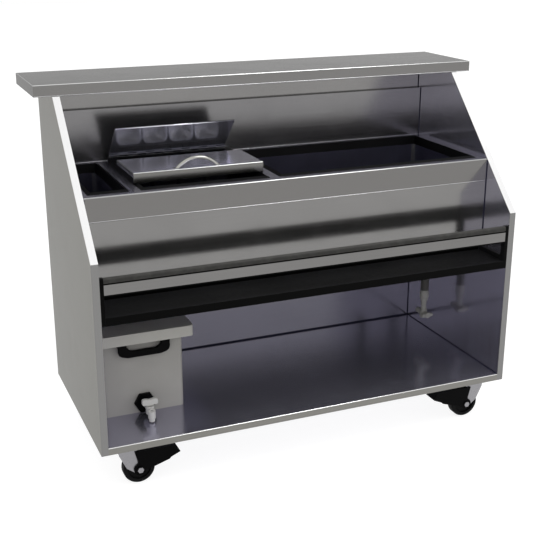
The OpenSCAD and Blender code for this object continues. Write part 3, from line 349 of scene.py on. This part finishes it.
# The hem beads and the deck's seam bead are rounded and catch light; their pale bluish colour adds a
# painted highlight
hem_steel = steel("hem_steel", (0.50, 0.49, 0.53), rough=0.2, fold_highlight=0)
# The lid's rolled edge is rounded and catches light; its near-white colour adds a painted highlight
rim_steel = steel("rim_steel", (0.86, 0.85, 0.93), rough=0.15, fold_highlight=0)
# The bar top's hem beads get a paler steel than the bar top: painted highlight
fold_steel = steel("fold_steel", (0.30, 0.295, 0.33), rough=0.35, fold_highlight=0)
# Near black in the strip's top one to two millimetres: painted shade of a groove under the rubber lip
strip_steel = steel(
    "strip_steel", (0.192, 0.188, 0.184), rough=0.12,
    low=((0.004, 0.004, 0.004), strip_z - 0.001, strip_z - 0.002)
)
pan_steel = steel("pan_steel", (0.58, 0.578, 0.57), grain="z", rough=0.16, fold_highlight=0)

# Materials of the plastics, the coating, the casters and the rubbers
sealant = moulded("sealant", (0.028, 0.028, 0.050), rough=0.6, wear=0.0, shine=0.05)
black_plastic = moulded("black_plastic", (0.0012, 0.0012, 0.0014), rough=0.4, shine=0.04)
pipe_plastic = moulded("pipe_plastic", (0.13, 0.128, 0.12), rough=0.5, wear=0.2, shine=0.2)
rim_plastic = moulded("rim_plastic", (0.003, 0.003, 0.0035), rough=0.42, shine=0.05)
# The coat's sides that face the bartender are near black: painted shade
black_coat = coated("black_coat", (0.009, 0.009, 0.0095), face=(0.0008, 0.0008, 0.0007))
tank_plastic = moulded("tank_plastic", (0.465, 0.455, 0.425), rough=0.5, wear=0.12, size=700.0)
# The tank lid's front is darker than its top: painted shade
lid_plastic = moulded(
    "lid_plastic", (0.70, 0.685, 0.65), rough=0.5, wear=0.12, size=700.0, face=(0.66, 0.65, 0.60)
)
white_plastic = moulded("white_plastic", (0.70, 0.695, 0.67), rough=0.4)
valve_plastic = moulded("valve_plastic", (0.42, 0.415, 0.39))
foam_plastic = moulded("foam_plastic", (0.30, 0.30, 0.30), rough=0.6, wear=0.25)
caster_steel = zinc("caster_steel", (0.32, 0.315, 0.33))
lip_rubber = rubber("lip_rubber", (0.05, 0.049, 0.046), rough=0.4)
wheel_rubber = rubber("wheel_rubber", (0.0025, 0.0025, 0.0028))
brake_plastic = moulded("brake_plastic", (0.0012, 0.0012, 0.0014), rough=0.42, shine=0.04)

MATERIALS = {
    outer_steel: ["left_skin", "right_skin", "back_skin"],
    top_steel: ["bar_top"],
    deck_steel: ["deck"],
    splash_steel: ["backsplash"],
    apron_steel: ["apron"],
    inner_steel: ["back_liner"],
    floor_steel: ["base_pan"],
    side_steel: ["left_liner", "right_liner"],
    bin_steel: ["well_liner", "station_liner", "ice_liner"],
    strip_steel: ["rail_strip"],
    cover_steel: ["station_cover"],
    bright_steel: ["cover_handle"],
    lid_steel: ["station_lid"],
    hinge_steel: ["hinge_pin"],
    pan_steel: ["pan_1", "pan_2", "pan_3", "pan_4"],
    black_plastic: ["tank_handle", "tank_nut"],
    pipe_plastic: ["drain_pipe"],
    rim_plastic: ["well_collar", "station_collar", "ice_collar", "station_frame"],
    black_coat: ["rail_tray", "rail_ends", "rail_bar"],
    tank_plastic: ["tank_body"],
    lid_plastic: ["tank_lid"],
    white_plastic: ["tap_body", "tap_knob"],
    valve_plastic: ["valve_body", "valve_knob"],
    foam_plastic: ["ice_shell"],
    lip_rubber: ["rail_lip"],
    caster_steel: ["base_channels", "caster_plates", "caster_bolts"]
    + [p + c for c in CORNERS for p in ("fork_", "axle_")],
    wheel_rubber: ["wheel_" + c for c in CORNERS],
    brake_plastic: ["brake_" + c for c in CORNERS],
}

# Width of the small rounding on each node's edges, in metres
ROUNDING = {
    "bar_top": 0.0008, "left_skin": 0.0007, "right_skin": 0.0007, "back_skin": 0.0007, "base_pan": 0.0006,
    "deck": 0.0006, "apron": 0.0004, "backsplash": 0.0006, "station_cover": 0.0007, "station_lid": 0.0004,
    "rail_tray": 0.0008, "rail_bar": 0.0010, "rail_strip": 0.0005,
    "well_collar": 0.0010, "station_collar": 0.0010, "ice_collar": 0.0010, "station_frame": 0.0005,
    "tank_body": 0.0015, "tank_lid": 0.0020, "tank_nut": 0.0012,
    "tap_body": 0.0006, "valve_knob": 0.0012, "valve_body": 0.0006,
}
for corner in CORNERS:
    ROUNDING["brake_" + corner] = 0.0010
    ROUNDING["fork_" + corner] = 0.0006


def soften(obj, width):
    """Rounds an object's sharp edges so that they catch light."""
    mod = obj.modifiers.new("soft_edges", "BEVEL")
    mod.width = width
    mod.segments = 2
    mod.limit_method = "ANGLE"
    mod.angle_limit = math.radians(38)
    mod.harden_normals = True


for material, names in MATERIALS.items():
    for name in names:
        nodes[name].data.materials.clear()
        nodes[name].data.materials.append(material)
        if name in ROUNDING:
            soften(nodes[name], ROUNDING[name])


# Sealed joints and hems of the sheets


def add_mesh(name, points, faces, material, body):
    """A closed mesh with its faces turned outwards, which rides on a body."""
    mesh = bpy.data.meshes.new(name)
    mesh.from_pydata([tuple(point) for point in points], [], faces)
    mesh.materials.append(material)
    work = bmesh.new()
    work.from_mesh(mesh)
    bmesh.ops.recalc_face_normals(work, faces=work.faces)
    work.to_mesh(mesh)
    work.free()
    obj = bpy.data.objects.new(name, mesh)
    bpy.context.scene.collection.objects.link(obj)
    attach(obj, body)
    return obj


def prism_faces(count, base=0):
    """Faces of a prism with count points on each end, the first of which has the index base."""
    near = [base + i for i in range(count)]
    far = [i + count for i in near]
    sides = [(near[i - 1], near[i], far[i], far[i - 1]) for i in range(count)]
    return sides + [tuple(reversed(near)), tuple(far)]


# Reach of a bead along its two faces, and depth to which its own face is drawn in, in parts of its size
BEAD_REACH, BEAD_HOLLOW = 1.2, 0.75


def seam(name, start, end, sides, size, material):
    """A thin bead from start to end, in the corner between two faces or along a sheet's edge."""
    first, second = (Vector(side) * size for side in sides)
    profile = [Vector((0, 0, 0)), first * BEAD_REACH]
    for degrees in range(15, 90, 15):
        turn = math.radians(degrees)
        across, along = (1 - BEAD_HOLLOW * wave(turn) for wave in (math.sin, math.cos))
        profile.append(first * across + second * along)
    profile.append(second * BEAD_REACH)
    points = [Vector(place) + p for place in (start, end) for p in profile]
    add_mesh(name, points, prism_faces(len(profile)), material, "cabinet")


wall_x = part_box("right_liner")[0][0]
wall_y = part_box("back_liner")[0][1]
wall_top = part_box("back_liner")[1][2] - 0.004
splash_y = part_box("backsplash")[0][1]
splash_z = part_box("backsplash")[1][2]
apron_y, apron_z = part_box("apron")[0][1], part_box("apron")[0][2]
pan_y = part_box("base_pan")[0][1] + 0.004
lip_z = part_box("deck")[0][2]
top_y, top_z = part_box("bar_top")[0][1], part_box("bar_top")[0][2]
top_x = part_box("bar_top")[1][0] - 0.002
UP, OUT = (0, 0, 1), (0, -1, 0)
# Sizes of the beads at the floor's rear, in the corners, above the deck and on the hems
WIDE, NORMAL, FINE, HEM = 0.0045, 0.0026, 0.0022, 0.0010
# Height of the hems' middle over the sheet's lower edge
HEM_RISE = 0.0009

# The deck's seam bead is pale and bluish: painted highlight
seam("deck_seam", (-wall_x, splash_y, deck_z), (wall_x, splash_y, deck_z), (UP, OUT), NORMAL, hem_steel)
seam("floor_seam", (-wall_x, wall_y, floor_z), (wall_x, wall_y, floor_z), (UP, OUT), WIDE, sealant)
for label, x, inward in (("left", -wall_x, (1, 0, 0)), ("right", wall_x, (-1, 0, 0))):
    seam("floor_seam_" + label, (x, pan_y, floor_z), (x, wall_y, floor_z), (UP, inward), NORMAL, sealant)
    for part, y, low_z, high_z, size in (
        ("corner_seam_", wall_y, floor_z, deck_z - 0.003, NORMAL),
        ("apron_seam_", apron_y, apron_z, deck_z - 0.004, NORMAL),
        ("splash_seam_", splash_y, deck_z, splash_z, FINE),
        ("wall_seam_", wall_y, splash_z, wall_top, FINE),
    ):
        seam(part + label, (x, y, low_z), (x, y, high_z), (inward, OUT), size, sealant)
# The hem beads catch light on their rounded faces and are paler than their sheets: painted highlight
for part, x, y, z, material in (
    ("deck_hem_", wall_x, apron_y, lip_z + HEM_RISE, hem_steel),
    ("top_hem_", top_x, top_y, top_z + HEM_RISE, fold_steel),
):
    for label, way in (("upper", UP), ("lower", (0, 0, -1))):
        seam(part + label, (-x, y, z), (x, y, z), (way, OUT), HEM, material)


# Moulded pieces with their rounded outlines, each in the place of the plain solid


def moulding(name, node, prisms, material, rounding):
    """A mesh in a node's place, of prisms that are each an outline, the axis of its sweep and its ends."""
    points, faces = [], []
    for outline, axis, *ends in prisms:
        faces += prism_faces(len(outline), len(points))
        for end in ends:
            points += [(end, a, b) if axis == "x" else (a, end, b) for a, b in outline]
    obj = add_mesh(name, points, faces, material, BODY_OF[node])
    soften(obj, rounding)
    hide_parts(node)


def quarter(centre, radius, start):
    """Points of a quarter circle that begins at an angle in degrees."""
    turns = [math.radians(start + degrees) for degrees in range(0, 91, 18)]
    return [(centre[0] + radius * math.cos(turn), centre[1] + radius * math.sin(turn)) for turn in turns]


def mirrored(outline):
    """The outline's points on the other side of the middle, in the order that carries the outline on."""
    return [(-x, z) for x, z in reversed(outline)]


def rectangle(x0, y0, x1, y1):
    """The four corners of a rectangle, in order."""
    return [(x0, y0), (x1, y0), (x1, y1), (x0, y1)]


def end_plates():
    """The bottle rail's two end plates: a post at the front and a low rear."""
    (low_x, low_y, low_z), (high_x, high_y, high_z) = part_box("rail_ends")
    thick, front_r, rear_r = 0.012, 0.005, 0.007
    post_y, shelf_z = low_y + 0.020, low_z + 0.040
    outline = [
        (low_y, low_z), (high_y, low_z), (high_y, shelf_z),
        (post_y + 0.008, shelf_z), (post_y + 0.002, shelf_z + 0.003), (post_y, shelf_z + 0.009),
        *quarter((post_y - rear_r, high_z - rear_r), rear_r, 0),
        *quarter((low_y + front_r, high_z - front_r), front_r, 90),
    ]
    moulding(
        "rail_end_plates", "rail_ends",
        [(outline, "x", low_x, low_x + thick), (outline, "x", high_x - thick, high_x)],
        black_coat, 0.0008
    )


def tank_grip():
    """The tank's handle: a sagging grip with cut corners on two feet."""
    (low_x, low_y, low_z), (high_x, high_y, high_z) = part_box("tank_handle")
    middle, half = (low_x + high_x) / 2, (high_x - low_x) / 2
    grip_t, lap, foot_w, foot_h = 0.012, 0.002, 0.026, 0.028
    outer = [
        (-half, high_z), (-half, low_z + 0.020), (-half + 0.003, low_z + 0.011),
        (-half + 0.012, low_z + 0.005), (-half + 0.030, low_z)
    ]
    inner = [
        (-half + 0.046, low_z + 0.022), (-half + 0.038, low_z + 0.024),
        (-half + 0.027, low_z + 0.037), (-half + 0.027, high_z)
    ]
    grip = [(middle + x, z) for x, z in outer + mirrored(outer) + mirrored(inner) + inner]
    feet = [rectangle(x, high_z - foot_h, x + foot_w, high_z) for x in (low_x, high_x - foot_w)]
    moulding(
        "tank_grip", "tank_handle",
        [(grip, "y", low_y, low_y + grip_t)]
        + [(foot, "y", low_y + grip_t - lap, high_y) for foot in feet],
        black_plastic, 0.0022
    )


def tap_grip():
    """The tap's knob: a flared wing over a short neck."""
    (low_x, low_y, low_z), (high_x, high_y, high_z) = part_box("tap_knob")
    middle_x, middle_y, half = (low_x + high_x) / 2, (low_y + high_y) / 2, (high_x - low_x) / 2
    wing_z = high_z - 0.0200
    wing_t, neck_t, neck_w, neck_h = 0.012, 0.018, 0.020, 0.0012
    wing = [
        (-half + 0.003, wing_z), (-half, wing_z + 0.004), (-half, high_z - 0.005),
        (-half + 0.003, high_z - 0.001), (-half + 0.010, high_z), (-0.006, high_z - 0.0015)
    ]
    wing += [(0.0, high_z - 0.003)] + mirrored(wing)
    neck = rectangle(-neck_w / 2, wing_z - neck_h, neck_w / 2, wing_z)
    moulding(
        "tap_grip", "tap_knob",
        [
            ([(middle_x + x, z) for x, z in outline], "y", middle_y - thick / 2, middle_y + thick / 2)
            for outline, thick in ((wing, wing_t), (neck, neck_t))
        ],
        white_plastic, 0.0022
    )


def lid_edge():
    """The rolled front hem of the station's lid, an arc on a chord across the lid's front corner."""
    (low_x, low_y, low_z), (high_x, high_y, high_z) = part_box("station_lid")
    width, rise, steps = 0.0042, 0.0014, 8
    start, along = Vector((low_y, high_z - width)), Vector((width, width))
    out = Vector((-1, 1)).normalized()
    shares = [step / steps for step in range(steps + 1)]
    arc = [start + along * share + out * rise * math.sin(math.pi * share) for share in shares]
    # The rolled edge's near-white steel paints a highlight on it
    obj = add_mesh(
        "lid_rolled_edge", [(x, y, z) for x in (low_x, high_x) for y, z in arc], prism_faces(len(arc)),
        rim_steel, BODY_OF["station_lid"]
    )
    for polygon in obj.data.polygons:
        polygon.use_smooth = len(polygon.vertices) == 4


end_plates()
tank_grip()
tap_grip()
lid_edge()


# Camera at the photograph's place, which was found by fitting the cabinet's straight edges

AZIMUTH, ELEVATION = math.radians(-22.54), math.radians(18.70)
camera_data = bpy.data.cameras.new("camera")
camera_data.lens = 67.85
camera_data.clip_start, camera_data.clip_end = 0.05, 60
camera = bpy.data.objects.new("camera", camera_data)
bpy.context.scene.collection.objects.link(camera)
level_part = math.cos(ELEVATION)
towards = Vector((-math.sin(AZIMUTH) * level_part, math.cos(AZIMUTH) * level_part, -math.sin(ELEVATION)))
camera.location = (-1.2712, -2.9864, 1.6252)
camera.rotation_mode = "QUATERNION"
camera.rotation_quaternion = towards.to_track_quat("-Z", "Y")
bpy.context.scene.camera = camera
bpy.context.scene.view_settings.view_transform = "Standard"


# Floor, world and lamps


def white_to_view(shader_tree, surface, low, high):
    """Gives a strength one value where it lights the object, and one to the camera and to reflections."""
    rays = shader_tree.nodes.new("ShaderNodeLightPath")
    total = rays.outputs["Is Camera Ray"]
    for name in ("Is Glossy Ray", "Is Transmission Ray"):
        node = shader_tree.nodes.new("ShaderNodeMath")
        node.operation = "MAXIMUM"
        shader_tree.links.new(total, node.inputs[0])
        shader_tree.links.new(rays.outputs[name], node.inputs[1])
        total = node.outputs["Value"]
    level = shader_tree.nodes.new("ShaderNodeMapRange")
    level.inputs["To Min"].default_value = low
    level.inputs["To Max"].default_value = high
    shader_tree.links.new(total, level.inputs["Value"])
    shader_tree.links.new(level.outputs["Result"], surface)


HALF_FLOOR = 20.0
floor_mesh = bpy.data.meshes.new("floor")
floor_corners = rectangle(-HALF_FLOOR, -HALF_FLOOR, HALF_FLOOR, HALF_FLOOR)
floor_mesh.from_pydata([(x, y, 0) for x, y in floor_corners], [], [(0, 1, 2, 3)])
floor = bpy.data.objects.new("floor", floor_mesh)
bpy.context.scene.collection.objects.link(floor)
floor_shader = Shader("floor_white")
floor_shader.set(
    Base_Color=floor_shader.mix(
        floor_shader.between(floor_shader.noise(0.8), 0.0, 1.0), (0.28, 0.28, 0.28), (0.30, 0.30, 0.30)
    ),
    Roughness=0.95,
    Specular_IOR_Level=0.1,
    Emission_Color=(1.0, 1.0, 1.0),
)
white_to_view(floor_shader.tree, floor_shader.bsdf.inputs["Emission Strength"], 0.0, 0.86)
floor.data.materials.append(floor_shader.material)

world = bpy.data.worlds.new("studio")
world.use_nodes = True
bpy.context.scene.world = world
background = world.node_tree.nodes["Background"]
background.inputs["Color"].default_value = (1, 1, 1, 1)
white_to_view(world.node_tree, background.inputs["Strength"], 0.85, 1.0)

top_light = bpy.data.lights.new("top_box", "AREA")
top_light.shape = "RECTANGLE"
top_light.size, top_light.size_y = 1.5, 0.8
top_light.energy = 26
top_box = bpy.data.objects.new("top_box", top_light)
top_box.location = (1.04, -1.0, 3.15)
top_box.rotation_mode = "QUATERNION"
top_box.rotation_quaternion = (Vector((0.1, -0.1, 0.9)) - top_box.location).to_track_quat("-Z", "Y")
bpy.context.scene.collection.objects.link(top_box)
